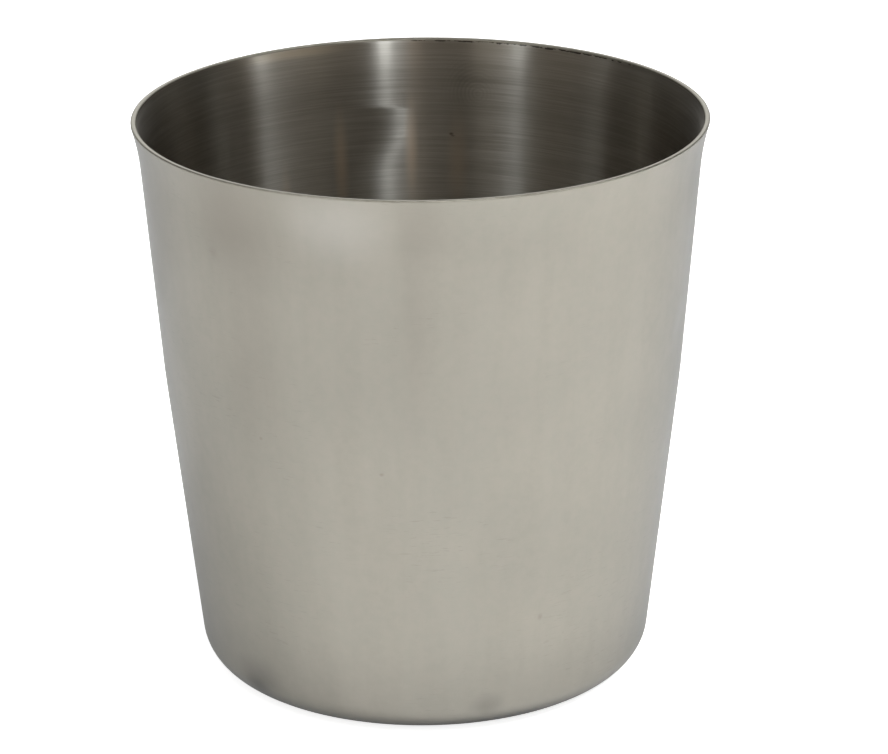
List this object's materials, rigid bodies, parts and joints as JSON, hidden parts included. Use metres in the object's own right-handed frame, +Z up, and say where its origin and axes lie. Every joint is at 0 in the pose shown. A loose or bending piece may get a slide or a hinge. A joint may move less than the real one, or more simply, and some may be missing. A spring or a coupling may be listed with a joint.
{
  "type": "deep drawn metal cup",
  "caption": "Tapered round cup drawn from one disc of stainless sheet, with a flared trimmed mouth, a faint knee halfway up the wall, a rounded heel and a flat floor.",
  "frame": {"origin": "on the cup's axis, in the plane of the floor that it rests on", "axes": "+Z up along the cup's axis, from the foot to the mouth; the cup is round, so X and Y have no front"},
  "size_m": [0.085, 0.085, 0.085],
  "materials": {
    "steel": "satin outside, brushed round the inside"
  },
  "bodies": {
    "root": {"cup": "steel"}
  },
  "joints": []
}
